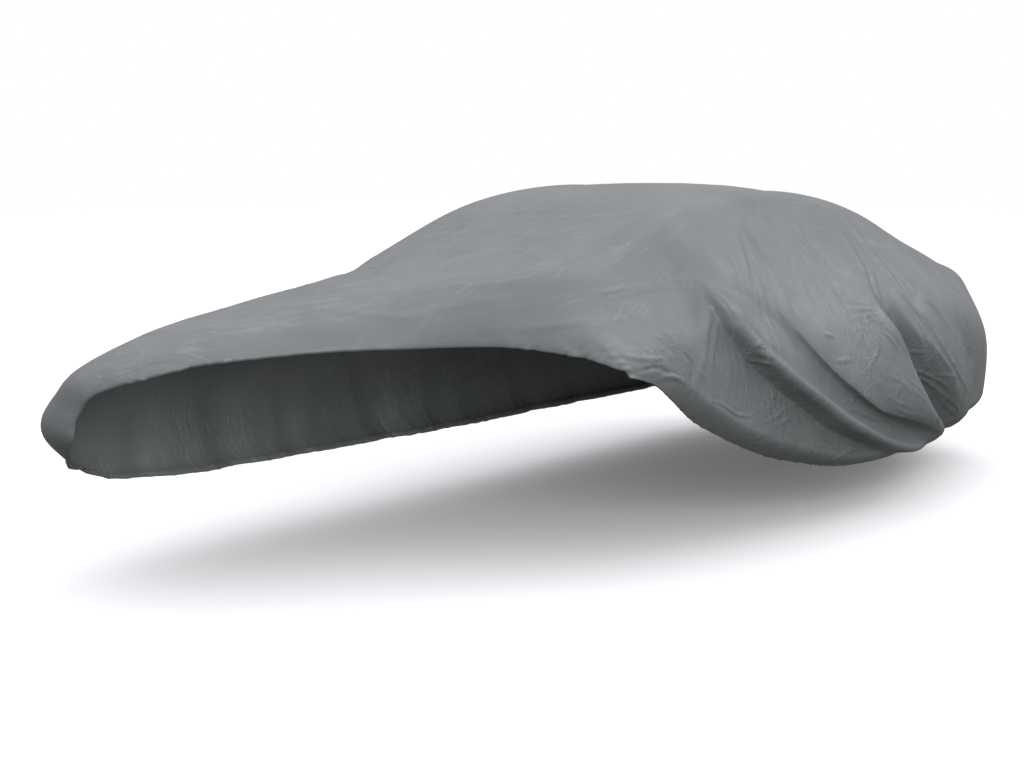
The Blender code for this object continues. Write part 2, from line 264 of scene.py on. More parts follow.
# %% Lines and the surface
def smooth_line(knots, values, where):
    """A smooth line through values at knots, read at where; the first axis runs along it."""
    knots = np.asarray(knots, float)
    values = np.asarray(values, float)
    step = np.diff(knots)
    slope = np.diff(values, axis=0) / step.reshape((-1,) + (1,) * (values.ndim - 1))
    tangent = np.empty_like(values)
    tangent[0] = slope[0]
    tangent[-1] = slope[-1]
    for k in range(1, len(knots) - 1):
        share = step[k] / (step[k - 1] + step[k])
        tangent[k] = share * slope[k - 1] + (1 - share) * slope[k]
    where = np.clip(np.asarray(where, float), knots[0], knots[-1])
    k = np.clip(np.searchsorted(knots, where, side="right") - 1, 0, len(knots) - 2)
    shape = (-1,) + (1,) * (values.ndim - 1)
    h = step[k].reshape(shape)
    u = ((where - knots[k]) / step[k]).reshape(shape)
    return ((2 * u**3 - 3 * u**2 + 1) * values[k] + (u**3 - 2 * u**2 + u) * h * tangent[k]
            + (3 * u**2 - 2 * u**3) * values[k + 1] + (u**3 - u**2) * h * tangent[k + 1])


def chord_knots(points):
    """Knots for lines that share them: the mean distance from each point to the next."""
    gaps = np.linalg.norm(np.diff(points, axis=0), axis=-1).mean(axis=1)
    knots = np.concatenate([[0.0], np.cumsum(gaps)])
    return knots / knots[-1]


def spread(knots, faces):
    """Places for the grid's lines: so many faces between each knot and the next."""
    runs = [np.linspace(knots[k], knots[k + 1], n, endpoint=False) for k, n in enumerate(faces)]
    return np.concatenate(runs + [knots[-1:]])


along_knots = chord_knots(ribs)
across_knots = chord_knots(ribs.transpose(1, 0, 2))
all_rows = FRONT_RIBS + RIBS
rib_number = spread(np.arange(len(ribs), dtype=float), [row[1] for row in all_rows[1:]])
across = spread(across_knots[[0, 1, 3, 5, 7, 9, 10]], FACES_ACROSS)
SWEEP_CURVE = 1.5                # the sweep grows with this power of the way from waist to hem


def lay_surface():
    """The cover's smooth outer face, as a grid of points with its rows swept to the tail."""
    sweep = np.interp(rib_number, np.arange(len(ribs)), [row[2] for row in all_rows])
    down = np.clip((across - across_knots[9]) / (1 - across_knots[9]), 0, 1)**SWEEP_CURVE
    place = np.interp(rib_number[:, None] + sweep[:, None] * down, np.arange(len(ribs)), along_knots)
    lines = smooth_line(across_knots, ribs.transpose(1, 0, 2), across)
    columns = [smooth_line(along_knots, line, place[:, j]) for j, line in enumerate(lines)]
    return np.stack(columns, axis=1)


def outward(grid):
    """The unit vector out of the cover at each point, the mean of the faces around it."""
    face = np.cross(grid[:-1, 1:] - grid[1:, :-1], grid[1:, 1:] - grid[:-1, :-1])
    normal = np.zeros_like(grid)
    for i in (slice(None, -1), slice(1, None)):
        for j in (slice(None, -1), slice(1, None)):
            normal[i, j] += face
    return normal / np.linalg.norm(normal, axis=-1, keepdims=True)


surface = lay_surface()
print("surface of", surface.shape[0], "rows and", surface.shape[1], "columns")

# %% [markdown]
# ## The big folds
# Where the film is drawn back it hangs in swags, and behind them it is folded over to a sharp
# edge. Each fold stands proud of the ribs along a line that is drawn on one view of the cover.
# Its two sides fall away in one of three ways: soft, round like a roll, or sharp like a folded
# edge, which is steepest at the crest. A crest can lean over too, so that it hides the valley
# beside it as a real lip of film does.

# %% Big folds
# A side's profile is (1 - u**a)**b, where u is 0 at the crest and 1 where the fold ends.
SIDES = {"soft": (2, 2), "round": (2, 1.4), "sharp": (1, 2)}
# A fold is its name, its view, how far its crest leans to the front as a share of its height, how
# its front and its rear side fall away, and its line. A row of the line is a place in that view,
# how proud the fold stands there, and how far it reaches to front and rear. Lines run downwards.
FOLDS = (
    ("corner ridge", "near", 0, "soft", "soft", (
        (2.47, 1.46, .000, .24, .30), (2.33, 1.35, .034, .22, .34), (2.20, 1.235, .050, .20, .34),
        (2.12, 1.14, .040, .14, .26))),
    ("front swag", "near", .3, "round", "soft", (
        (2.09, 1.16, .000, .02, .03), (2.10, 1.12, .014, .03, .05), (2.11, 1.085, .034, .045, .08),
        (2.14, 1.035, .054, .055, .12), (2.215, .96, .074, .075, .17), (2.335, .87, .084, .085, .18),
        (2.52, .753, .088, .088, .17), (2.72, .638, .090, .09, .15), (2.86, .557, .090, .09, .14),
        (3.04, .477, .082, .085, .13), (3.40, .342, .060, .075, .10), (3.88, .245, .030, .06, .05))),
    ("behind the front crest", "near", 0, "soft", "soft", (
        (2.36, .90, .000, .04, .05), (2.58, .77, -.012, .04, .06), (2.77, .655, -.018, .04, .07),
        (2.91, .575, -.018, .04, .06), (3.09, .49, -.014, .04, .05), (3.42, .37, .000, .04, .04))),
    ("rear swag", "near", .58, "sharp", "soft", (
        (2.50, 1.04, .000, .05, .12), (2.555, .985, .010, .07, .18), (2.612, .925, .040, .09, .24),
        (2.67, .87, .066, .12, .30), (2.785, .785, .088, .13, .33), (2.93, .70, .098, .13, .30),
        (3.11, .60, .092, .12, .25), (3.41, .475, .068, .10, .18), (3.80, .31, .030, .06, .06))),
    ("flap edge", "near", -.45, "soft", "sharp", (
        (3.38, 1.42, .000, .34, .10), (3.30, 1.14, .006, .36, .09), (3.255, 1.02, .016, .38, .08),
        (3.235, .95, .044, .36, .08), (3.25, .87, .074, .32, .10), (3.30, .78, .088, .27, .12),
        (3.395, .63, .092, .20, .13), (3.56, .48, .086, .14, .13), (3.84, .32, .055, .08, .10))),
    ("pocket", "near", 0, "soft", "soft", (
        (3.37, .95, .000, .05, .08), (3.44, .83, -.038, .07, .10), (3.58, .66, -.094, .11, .14),
        (3.78, .49, -.108, .12, .14), (3.97, .34, -.050, .08, .08))),
    ("tail swell", "near", .1, "round", "soft", (
        (3.49, 1.05, .000, .05, .30), (3.53, .90, .016, .07, .34), (3.62, .79, .044, .11, .38),
        (3.72, .69, .066, .14, .38), (3.86, .59, .082, .16, .36), (4.02, .475, .084, .17, .32),
        (4.15, .375, .060, .15, .28), (4.23, .28, .025, .12, .25))),
    ("windscreen foot", "top", 0, "soft", "soft", (
        (1.40, .98, .000, .12, .14), (1.44, .80, -.010, .12, .14), (1.47, .55, -.012, .12, .14),
        (1.52, .30, -.010, .12, .16), (1.58, .05, .000, .12, .16))),
    ("tent ridge", "top", 0, "soft", "soft", (
        (1.11, .18, .000, .16, .30), (1.20, -.02, .008, .16, .30), (1.27, -.22, .012, .16, .28),
        (1.43, -.50, .014, .16, .25), (1.68, -.64, .014, .18, .22), (1.94, -.64, .010, .20, .20),
        (2.30, -.62, .000, .20, .20))),
)
# Drops are the soft folds that hang to the hem where nothing pulls: view, place and height
# of the head, place of the foot, how proud, how far it reaches.
DROPS = (
    ("far", .62, .80, .55, .020, .13), ("far", .98, .86, 1.04, .028, .16),
    ("far", 1.42, .92, 1.38, .018, .12), ("far", 1.85, .95, 1.96, .030, .17),
    ("far", 2.40, 1.00, 2.34, .024, .15), ("far", 2.92, .98, 3.02, .030, .18),
    ("far", 3.46, .96, 3.38, .022, .14), ("far", 3.95, .90, 4.08, .028, .15),
    ("far", 4.42, .80, 4.36, .020, .12), ("tail", .52, .82, .46, .022, .13),
    ("tail", .14, .88, .20, .028, .16), ("tail", -.22, .84, -.16, .020, .12),
    ("tail", -.50, .80, -.58, .024, .13), ("near", 4.34, .84, 4.26, .020, .10),
)
DROP_FOOT = .24                  # m from the ground to a drop's foot
# The head, middle and foot of a drop: the way down, and the shares of its height and of its
# reach to front and rear there.
DROP_ROWS = ((0, 0, 1, 1), (.5, .7, .8, 1), (1, 1, .7, .9))
SIDE_STARTS = (.30, .55)         # m from the middle over which a side view comes to count
TAIL_STARTS = (.3, .7)           # the same for the tail, as how far the film faces it
TOP_STARTS = (.2, .5)            # and for the top
FOLD_TOP = .015                  # m from its line within which a fold's two sides mix
LINE_STEPS = 100                 # straight steps in a fold's line


def ease(value, low, high):
    """A smooth step from 0 at low to 1 at high."""
    u = np.clip((value - low) / (high - low), 0, 1)
    return u * u * (3 - 2 * u)


def nearest_on(line, flat):
    """From each flat point, the distance to a line, the way along it from 0 to 1, and the offset
    across it, which is positive where the point lies on the line's rear side."""
    start, step = line[:-1], np.diff(line, axis=0)
    away = flat[:, None, :] - start
    share = np.clip((away * step).sum(-1) / (step**2).sum(-1), 0, 1)
    gap = np.linalg.norm(away - share[..., None] * step, axis=-1)
    k = gap.argmin(-1)[:, None]
    turn = (step[:, 0] * away[..., 1] - step[:, 1] * away[..., 0]) / np.linalg.norm(step, axis=-1)
    distance, share, side = (np.take_along_axis(v, k, -1)[:, 0] for v in (gap, share, turn))
    return distance, (k[:, 0] + share) / len(step), side


def close_by(line, flat, reach):
    """Which flat points lie in the box round a line."""
    return ((flat > line.min(axis=0) - reach) & (flat < line.max(axis=0) + reach)).all(axis=-1)


def fold_lift(rows, front_side, rear_side, flat):
    """How proud one fold stands at each flat point, and the way across it towards the front."""
    rows = np.array(rows)
    line = smooth_line(chord_knots(rows[:, None, :2]), rows, np.linspace(0, 1, LINE_STEPS + 1))
    near = close_by(line[:, :2], flat, rows[:, 3:].max())
    distance, way, side = nearest_on(line[:, :2], flat[near])
    row = smooth_line(np.linspace(0, 1, LINE_STEPS + 1), line, way)
    behind = ease(side, -FOLD_TOP, FOLD_TOP)
    falls = [(1 - np.clip(distance / reach, 0, 1)**a)**b
             for reach, (a, b) in ((row[:, 3], SIDES[front_side]), (row[:, 4], SIDES[rear_side]))]
    height = np.zeros(flat.shape[:-1])
    height[near] = row[:, 2] * (falls[0] + behind * (falls[1] - falls[0]))
    run = np.gradient(line[:, :2], axis=0)
    run /= np.linalg.norm(run, axis=-1, keepdims=True)
    to_front = np.zeros(flat.shape)
    to_front[near] = np.stack([np.interp(way, np.linspace(0, 1, LINE_STEPS + 1), v)
                               for v in (run[:, 1], -run[:, 0])], axis=-1)
    return height, to_front


def seen_from(view, grid, normal):
    """The two axes of a view, and how much each point of the cover shows in it."""
    if view == "near":
        return (0, 2), ease(-grid[..., 1], *SIDE_STARTS)
    if view == "far":
        return (0, 2), ease(grid[..., 1], *SIDE_STARTS)
    if view == "tail":
        return (1, 2), ease(normal[..., 0], *TAIL_STARTS)
    return (0, 1), ease(normal[..., 2], *TOP_STARTS)


def big_folds():
    """Every fold of the two tables: its view, its lean, its two sides, and its line's rows."""
    for name, *fold in FOLDS:
        yield fold
    for view, head, height, foot, proud, reach in DROPS:
        yield view, 0, "soft", "soft", [
            (head + (foot - head) * down, height + (DROP_FOOT - height) * down,
             proud * rise, reach * front, reach * rear)
            for down, rise, front, rear in DROP_ROWS]


def raise_folds(grid, folds):
    """The grid with every fold standing proud of it and leaning over."""
    normal = outward(grid)
    move = np.zeros(grid.shape)
    for view, lean, front_side, rear_side, rows in folds:
        axes, here = seen_from(view, grid, normal)
        height, to_front = fold_lift(rows, front_side, rear_side, grid[..., axes])
        move += (here * height)[..., None] * normal
        move[..., axes] += lean * (here * np.abs(height))[..., None] * to_front
    return grid + move


folded = raise_folds(surface, big_folds())
most_proud = np.linalg.norm(folded - surface, axis=-1).max()
print("folds stand up to", round(float(most_proud) * 1000), "mm proud")

# %% [markdown]
# ## Creases and tension wrinkles
# A film remembers how it was folded and shows where it is pulled. The marks that stand out are
# placed one by one, each a ridge with a shallow trough along both sides, fading out at its ends.
# Between them lie fans of finer wrinkles, which run from the point that pulls. Their number and
# spread are set here, and a seeded draw scatters them.

# %% Creases
# A crease is its view, how proud it stands and half its width in mm, and its line in that view.
# A negative height is a trough.
CREASES = (
    # the ridge of the tent, and the streaks below it that the pull on the corner makes
    ("top", 7, 26, ((2.38, -.58), (1.98, -.63), (1.64, -.59), (1.47, -.47), (1.30, -.16),
                    (1.20, -.01))),
    ("top", 3, 16, ((2.40, -.58), (2.20, -.61), (2.06, -.62))),
    ("near", 5, 15, ((2.10, 1.18), (1.81, 1.16), (1.63, 1.15), (1.46, 1.12), (1.37, 1.10))),
    ("near", 3.5, 12, ((2.05, 1.15), (1.86, 1.15), (1.64, 1.13), (1.54, 1.12))),
    ("near", 5, 14, ((1.65, 1.05), (1.54, 1.05), (1.42, 1.03), (1.28, 1.02))),
    ("top", 3.5, 17, ((1.26, -.25), (1.21, -.21), (1.07, -.02), (.99, .11))),
    ("top", 3.5, 16, ((1.38, -.44), (1.32, -.35), (1.24, -.24), (1.17, -.13))),
    # the windscreen
    ("top", 4, 18, ((2.25, -.34), (2.09, -.34), (1.92, -.32), (1.76, -.36), (1.62, -.41))),
    ("top", 4, 17, ((2.32, -.42), (2.15, -.39), (2.01, -.34), (1.78, -.25), (1.57, -.20),
                    (1.46, -.18))),
    ("top", 3, 15, ((1.87, -.26), (1.76, -.22), (1.65, -.19), (1.53, -.16), (1.42, -.11))),
    ("top", 3, 15, ((1.74, -.15), (1.67, -.08), (1.55, -.05), (1.43, -.02))),
    ("top", 3.5, 16, ((1.86, .34), (1.76, .36), (1.67, .38), (1.58, .44), (1.48, .46))),
    ("top", 3.5, 16, ((2.12, .39), (1.94, .39), (1.81, .41), (1.70, .46))),
    ("top", 3, 15, ((2.33, -.35), (2.20, -.28), (2.04, -.19), (1.98, -.10))),
    # the crumpled foot of the windscreen
    ("top", 5, 13, ((1.49, .38), (1.49, .50), (1.45, .57))),
    ("top", 5, 13, ((1.46, .40), (1.36, .32), (1.27, .23))),
    ("top", 4, 12, ((1.55, .42), (1.46, .38))),
    ("top", 4, 12, ((2.02, .14), (1.99, .04))),
    # the nose
    ("top", 6, 18, ((.31, .55), (.22, .50), (.11, .47))),
    ("top", 6, 18, ((.28, .61), (.21, .59), (.13, .53))),
    ("top", -6, 12, ((.52, .32), (.49, .25))),
    ("top", 3, 15, ((.89, .38), (.80, .42), (.71, .49))),
    ("top", 3, 15, ((1.10, -.07), (.99, .11), (.93, .27))),
    ("top", 3, 15, ((1.00, -.02), (.86, .10), (.71, .22))),
    # the skirt under the front swag
    ("near", 7, 11, ((2.09, 1.03), (2.06, .96), (2.02, .83), (2.04, .71))),
    ("near", 5, 10, ((2.06, 1.04), (2.01, .97), (1.99, .88))),
    ("near", 6, 10, ((2.21, .92), (2.23, .84), (2.25, .76), (2.26, .72))),
    ("near", 6, 10, ((2.21, .91), (2.26, .92))),
    ("near", 6, 10, ((2.24, .89), (2.31, .85))),
    ("near", 6, 10, ((2.25, .84), (2.32, .83))),
    ("near", 6, 10, ((2.42, .70), (2.44, .65))),
    ("near", 6, 9, ((2.03, .70), (2.08, .68), (2.19, .62), (2.31, .60))),
    ("near", 6, 9, ((2.36, .56), (2.45, .57), (2.52, .60), (2.60, .61))),
    ("near", 6, 10, ((2.42, .55), (2.41, .49))),
    ("near", 7, 11, ((2.47, .53), (2.57, .56))),
    ("near", 6, 14, ((2.62, .59), (2.69, .53), (2.80, .45), (2.95, .37))),
    ("near", 7, 14, ((3.26, .33), (3.12, .34), (3.03, .34), (2.91, .31), (2.82, .31))),
    ("near", 7, 11, ((3.08, .41), (3.02, .36))),
    # the rolled crest of the front swag
    ("near", 24, 30, ((2.08, 1.13), (2.095, 1.07), (2.115, 1.01), (2.20, .935), (2.315, .842),
                      (2.50, .723), (2.70, .608), (2.84, .527), (3.025, .446), (3.39, .313),
                      (3.79, .225))),
    # the gathers of the drawn-back corner
    ("near", 5, 13, ((1.56, .94), (1.64, .91), (1.74, .90))),
    ("near", -6, 12, ((1.60, .87), (1.70, .87), (1.78, .83))),
    ("near", 7, 12, ((1.70, .83), (1.77, .83), (1.86, .79))),
    ("near", 5, 11, ((1.77, .93), (1.80, .88), (1.81, .83))),
    ("near", -6, 12, ((1.86, .91), (1.90, .85), (1.90, .79))),
    ("near", 5, 11, ((1.93, .84), (1.97, .80), (2.00, .74))),
    # the valleys and the faces of the swags
    ("near", 5, 10, ((2.84, .60), (2.98, .58))),
    ("near", 6, 12, ((2.85, .59), (2.95, .55), (3.21, .46), (3.43, .38), (3.53, .34))),
    ("near", 6, 10, ((2.72, .91), (2.80, .89))),
    ("near", 6, 10, ((2.75, .79), (2.90, .78))),
    ("near", 6, 10, ((3.08, .96), (3.12, .81), (3.03, .74), (2.99, .64))),
    ("near", 6, 10, ((3.28, .66), (3.25, .61), (3.20, .57))),
    ("near", 6, 10, ((3.19, .88), (3.26, .80), (3.29, .76))),
    # the pocket and the tail side
    ("near", 7, 8, ((3.54, .68), (3.73, .61), (3.88, .53))),
    ("near", 7, 8, ((3.57, .66), (3.80, .55), (3.90, .48), (4.10, .35))),
    ("near", 6, 8, ((3.83, .52), (3.97, .41), (4.10, .33))),
    ("near", 6, 9, ((3.47, .80), (3.56, .74), (3.66, .73))),
    ("near", 5, 8, ((3.72, .60), (3.82, .60), (3.92, .58))),
    ("near", 6, 15, ((4.45, .98), (4.50, .85), (4.52, .70), (4.50, .52))),
    ("near", 7, 17, ((3.66, .88), (3.78, .73), (3.91, .61), (4.11, .47))),
    ("near", 6, 14, ((3.63, .80), (3.73, .71), (3.88, .59))),
    ("near", 5, 13, ((4.09, .56), (4.04, .43))),
    # the long soft lines of the upper side
    ("near", 9, 38, ((3.51, 1.41), (3.52, 1.29), (3.52, 1.14), (3.56, .99), (3.72, .85))),
    ("near", 6, 24, ((3.39, 1.14), (3.33, 1.04), (3.34, .94))),
    ("near", 6, 28, ((3.38, 1.32), (3.33, 1.20), (3.31, 1.11))),
    ("near", 7, 26, ((3.66, 1.04), (3.81, .93), (3.95, .77))),
    ("near", 4, 20, ((2.78, 1.41), (2.83, 1.31))),
    ("near", 5, 24, ((2.64, 1.40), (2.61, 1.28), (2.60, 1.17))),
    ("near", 6, 30, ((3.01, 1.37), (2.98, 1.28), (3.02, 1.15))),
    ("near", 6, 30, ((2.56, 1.38), (2.42, 1.21), (2.37, 1.13))),
)
# A fan is its view, the point that pulls, the first and last direction in degrees, the nearest
# and farthest a wrinkle starts, how many there are, and the height and half width in mm.
FANS = (
    ("top", (2.50, -.60), (143, 178), (.25, 1.30), 46, 2.2, 15),
    ("near", (2.12, 1.20), (180, 196), (.15, .80), 14, 1.5, 10),
    ("top", (1.50, .80), (165, 235), (.10, .90), 34, 2.2, 14),
    ("near", (3.93, .25), (105, 160), (.10, .70), 44, 3.0, 11),
    ("near", (3.93, .25), (40, 105), (.10, .55), 26, 3.0, 12),
    ("near", (2.75, 2.60), (245, 285), (1.20, 1.90), 42, 2.0, 16),
    ("near", (2.20, 2.20), (262, 278), (1.25, 1.60), 12, 2.4, 10),
    ("far", (2.50, 3.10), (230, 310), (1.75, 2.80), 60, 2.6, 18),
    ("tail", (.00, 3.00), (245, 295), (2.10, 2.70), 34, 2.6, 16),
    ("top", (4.00, 3.00), (252, 288), (2.45, 3.30), 30, 1.8, 18),
)
FAN_SEED = 7
FAN_LENGTH = (.10, .38)          # m, the shortest and longest wrinkle of a fan
FAN_STRAY = .05                  # m, how far a wrinkle's middle strays from a straight line
FAN_HEIGHTS = (.4, 1.2)          # the least and most of a fan's height that a wrinkle has
FAN_WIDTHS = (.7, 1.5)           # and of its half width
CREASE_STEPS = 16                # straight steps in a crease's line
CREASE_ENDS = .7                 # under 1, a crease keeps its height longer towards its ends
CREASE_REACH = 2.5               # half widths from its line at which a crease has faded out


def crease_lift(line, height, half_width, flat):
    """How proud a crease stands: a ridge with a shallow trough along each of its sides."""
    line = np.array(line)
    path = smooth_line(chord_knots(line[:, None]), line, np.linspace(0, 1, CREASE_STEPS + 1))
    near = close_by(path, flat, CREASE_REACH * half_width)
    lift = np.zeros(flat.shape[:-1])
    if near.any():
        distance, way, _ = nearest_on(path, flat[near])
        across = (distance / half_width)**2
        lift[near] = height * (1 - across) * np.exp(-across) * np.sin(math.pi * way)**CREASE_ENDS
    return lift


def fan_wrinkles():
    """The fine wrinkles of every fan, in the same terms as a crease."""
    draw = np.random.default_rng(FAN_SEED)
    for view, centre, turns, starts, count, height, half_width in FANS:
        for k in range(count):
            turn = math.radians(turns[0] + (turns[1] - turns[0]) * (k + draw.uniform(.1, .9)) / count)
            near = draw.uniform(*starts)
            far = near + draw.uniform(*FAN_LENGTH)
            stray = draw.normal(0, FAN_STRAY / 3)
            middle = (near + far) / 2
            line = [(centre[0] + r * math.cos(turn) - bend * math.sin(turn),
                     centre[1] + r * math.sin(turn) + bend * math.cos(turn))
                    for r, bend in ((near, 0), (middle, stray), (far, 0))]
            yield view, height * draw.uniform(*FAN_HEIGHTS), half_width * draw.uniform(*FAN_WIDTHS), line


def crease(grid, marks):
    """The grid with each crease pressed into it, along the way out of the cover."""
    normal = outward(grid)
    lift = np.zeros(grid.shape[:2])
    for view, height, half_width, line in marks:
        axes, here = seen_from(view, grid, normal)
        lift += here * crease_lift(line, height / 1000, half_width / 1000, grid[..., axes])
    return grid + lift[..., None] * normal


creased = crease(folded, [*CREASES, *fan_wrinkles()])
print(len(CREASES), "placed creases and", sum(row[4] for row in FANS), "fan wrinkles")

# %% [markdown]
# ## The hem
# An elastic runs in the hem and draws it in under the body. Each edge is pulled towards a line
# inside the body, most at the very edge, and the corner that is drawn back is pulled less. The
# same elastic gathers the film, so short puckers stand across the whole edge.

# %% Drawing in the hem
# An edge is its name, how far it is drawn in, how wide the band is that turns, and the gathers
# of its elastic: how many, how proud and half as wide as what in mm.
HEMS = (
    ("front", .036, .13, 46, 4.0, 16), ("rear", .050, .12, 22, 5.0, 18),
    ("far", .050, .12, 56, 5.0, 18), ("near", .110, .13, 52, 4.0, 14),
)
GATHER_LENGTH = (.05, .13)       # m, the shortest and longest gather
GATHER_SEED = 11
GATHER_STRAY = .012              # m, how far a gather's end strays along the hem
GATHER_HEIGHTS = (.3, 1.3)       # the least and most of an edge's height that a gather has
GATHER_WIDTHS = (.6, 1.4)        # and of its half width
HEM_START = 0.5                  # m from the front hem at which a side's hem is fully drawn in
HEM_START_SHARE = 0.3            # how much a side's hem is drawn in at the front hem
MIDDLE_FRONT = 0.90              # m, the ends and the height of the line inside the body to
MIDDLE_REAR = 4.20               # which the elastic draws the hem
MIDDLE_HEIGHT = 0.32
MIDDLE_SHIFT = 0.3               # m that the pull is directed to the tail


def inward(grid):
    """The unit vector from each point to the body's middle, where the elastic draws it."""
    middle = np.zeros_like(grid)
    middle[..., 0] = np.clip(grid[..., 0] + MIDDLE_SHIFT, MIDDLE_FRONT, MIDDLE_REAR)
    middle[..., 2] = MIDDLE_HEIGHT
    way = middle - grid
    return way / np.linalg.norm(way, axis=-1, keepdims=True)


def gaps_to_edges(grid):
    """How far each point lies from each edge of the cover, along the film."""
    along = np.linalg.norm(np.diff(grid, axis=0), axis=-1)
    over = np.linalg.norm(np.diff(grid, axis=1), axis=-1)
    from_front = np.vstack([np.zeros(grid.shape[1]), np.cumsum(along, axis=0)])
    from_far = np.hstack([np.zeros((grid.shape[0], 1)), np.cumsum(over, axis=1)])
    return {"front": from_front, "rear": from_front[-1:] - from_front,
            "far": from_far, "near": from_far[:, -1:] - from_far}


def draw_in(grid):
    """The grid with a band along each edge turned inwards, as the elastic draws it."""
    gaps = gaps_to_edges(grid)
    pull = np.zeros(grid.shape[:2])
    for edge, drawn_in, band, *_ in HEMS:
        turned = drawn_in * np.clip(1 - gaps[edge] / band, 0, 1)**2
        if edge in ("far", "near"):
            turned *= HEM_START_SHARE + (1 - HEM_START_SHARE) * ease(gaps["front"], 0, HEM_START)
        pull = np.maximum(pull, turned)
    return grid + pull[..., None] * inward(grid)


def gather(grid):
    """The grid with the puckers of the elastic, drawn on the film's own plane."""
    gaps = gaps_to_edges(grid)
    draw = np.random.default_rng(GATHER_SEED)
    lift = np.zeros(grid.shape[:2])
    for edge, _, _, count, height, half_width in HEMS:
        along = gaps["far" if edge in ("front", "rear") else "front"]
        film_plane = np.stack([along, gaps[edge]], axis=-1)
        full = along[gaps[edge] == 0].max()
        for k in range(count):
            place = full * (k + draw.uniform(.1, .9)) / count
            length, stray = draw.uniform(*GATHER_LENGTH), draw.normal(0, GATHER_STRAY)
            line = ((place - stray, -length), (place, 0), (place + stray, length))
            proud = height * draw.uniform(*GATHER_HEIGHTS) * draw.choice((1, 1, -1)) / 1000
            wide = half_width * draw.uniform(*GATHER_WIDTHS) / 1000
            lift += crease_lift(line, proud, wide, film_plane)
    return grid + lift[..., None] * outward(grid)


drawn = gather(draw_in(creased))
print("hem drawn in by up to", round(float(np.linalg.norm(drawn - creased, axis=-1).max()) * 1000), "mm")

# %% [markdown]
# ## The film as a mesh
# A film is so thin that one layer of faces shows it best. What the eye does see is the hem: the
# film is turned in round the elastic, so a few more loops of faces run round the edge.

# %% The mesh
HEM_ROLL = 0.009                 # m, radius to which the film is turned round the elastic
HEM_RETURN = 0.018               # m of film behind the roll
ROLL_STEPS = (45, 90, 135, 180)  # degrees


def edge_loop(rows, columns):
    """The indices round the grid's edge, in order."""
    edge = [i * columns for i in range(rows)]
    edge += [(rows - 1) * columns + j for j in range(1, columns)]
    edge += [i * columns + columns - 1 for i in range(rows - 2, -1, -1)]
    edge += [j for j in range(columns - 2, 0, -1)]
    return edge


def film_mesh(grid, name):
    """The mesh of a grid with its hem turned in, and the indices of the points on its edge."""
    rows, columns = grid.shape[:2]
    points = list(grid.reshape(-1, 3))
    faces = []
    for i in range(rows - 1):
        for j in range(columns - 1):
            a, b = i * columns + j, (i + 1) * columns + j
            faces.append((a, a + 1, b + 1, b))
    inner = np.pad(grid[1:-1, 1:-1], ((1, 1), (1, 1), (0, 0)), mode="edge").reshape(-1, 3)
    normal = outward(grid).reshape(-1, 3)
    edge = edge_loop(rows, columns)
    flat = grid.reshape(-1, 3)
    back = inner[edge] - flat[edge]
    back -= (back * normal[edge]).sum(-1, keepdims=True) * normal[edge]
    back /= np.linalg.norm(back, axis=-1, keepdims=True)
    last = edge
    offsets = [(-math.sin(math.radians(a)) * HEM_ROLL, (math.cos(math.radians(a)) - 1) * HEM_ROLL)
               for a in ROLL_STEPS] + [(HEM_RETURN, -2 * HEM_ROLL)]
    for along_film, out in offsets:
        loop = flat[edge] + along_film * back + out * normal[edge]
        first = len(points)
        points += list(loop)
        ring = list(range(first, first + len(edge)))
        for k in range(len(edge)):
            n = (k + 1) % len(edge)
            faces.append((last[k], last[n], ring[n], ring[k]))
        last = ring
    mesh = bpy.data.meshes.new(name)
    mesh.from_pydata((np.array(points) - SHIFT).tolist(), [], faces)
    mesh.shade_smooth()
    return mesh, edge


cover_mesh, cover_edge = film_mesh(drawn, "film_cover")
cover = bpy.data.objects.new("film_cover", cover_mesh)
bpy.context.scene.collection.objects.link(cover)
print("cover:", len(cover.data.polygons), "faces")

# %% [markdown]
# ## Where the film shows what
# The finish needs to know where on the cover it is: on the top the fine streaks run out from the
# roof's corner, on the sides they hang with the folds, and low down the film is crinkled. Each is
# a value stored on the mesh, in metres or from 0 to 1, so the finish needs no pictures.

# %% Maps and masks
# A crinkled patch is its view, its place, its radius and how crinkled the film is there.
CRINKLED = (
    ("near", (2.35, .80), .42, .55), ("near", (2.25, .88), .10, 1.0), ("near", (2.45, .56), .30, 1.0),
    ("near", (2.90, .38), .35, 1.0), ("near", (3.05, .72), .38, .95),
    ("near", (3.70, .60), .38, 1.0), ("near", (4.20, .55), .50, .90), ("near", (4.50, .90), .40, .50),
    ("near", (1.78, .88), .28, .80), ("top", (.36, .42), .52, .95), ("top", (1.45, .42), .25, .90),
    ("far", (1.00, .50), .60, .60), ("far", (2.50, .45), .90, .60), ("far", (4.00, .50), .80, .70),
    ("tail", (.00, .50), .70, .75),
)
CRINKLED_ANYWHERE = 0.15
PULL = (2.50, -.60)              # m, the roof's corner in the top view, from which the streaks run


def crinkled_share(grid, normal):
    """How crinkled the film is at each point, from 0 to 1."""
    share = np.full(grid.shape[:2], CRINKLED_ANYWHERE)
    for view, place, radius, much in CRINKLED:
        axes, here = seen_from(view, grid, normal)
        away = np.linalg.norm(grid[..., axes] - place, axis=-1)
        share = np.maximum(share, much * here * (1 - ease(away, .3 * radius, radius)))
    return share


def with_hem(values):
    """A value for every point of the mesh: each turn of the hem takes the value of its edge."""
    flat = values.reshape(-1, *values.shape[2:])
    return np.concatenate([flat] + [flat[cover_edge]] * (len(ROLL_STEPS) + 1))


def store_mask(name, values):
    mask = cover_mesh.attributes.new(name, "FLOAT", "POINT")
    mask.data.foreach_set("value", with_hem(values).astype(np.float32))


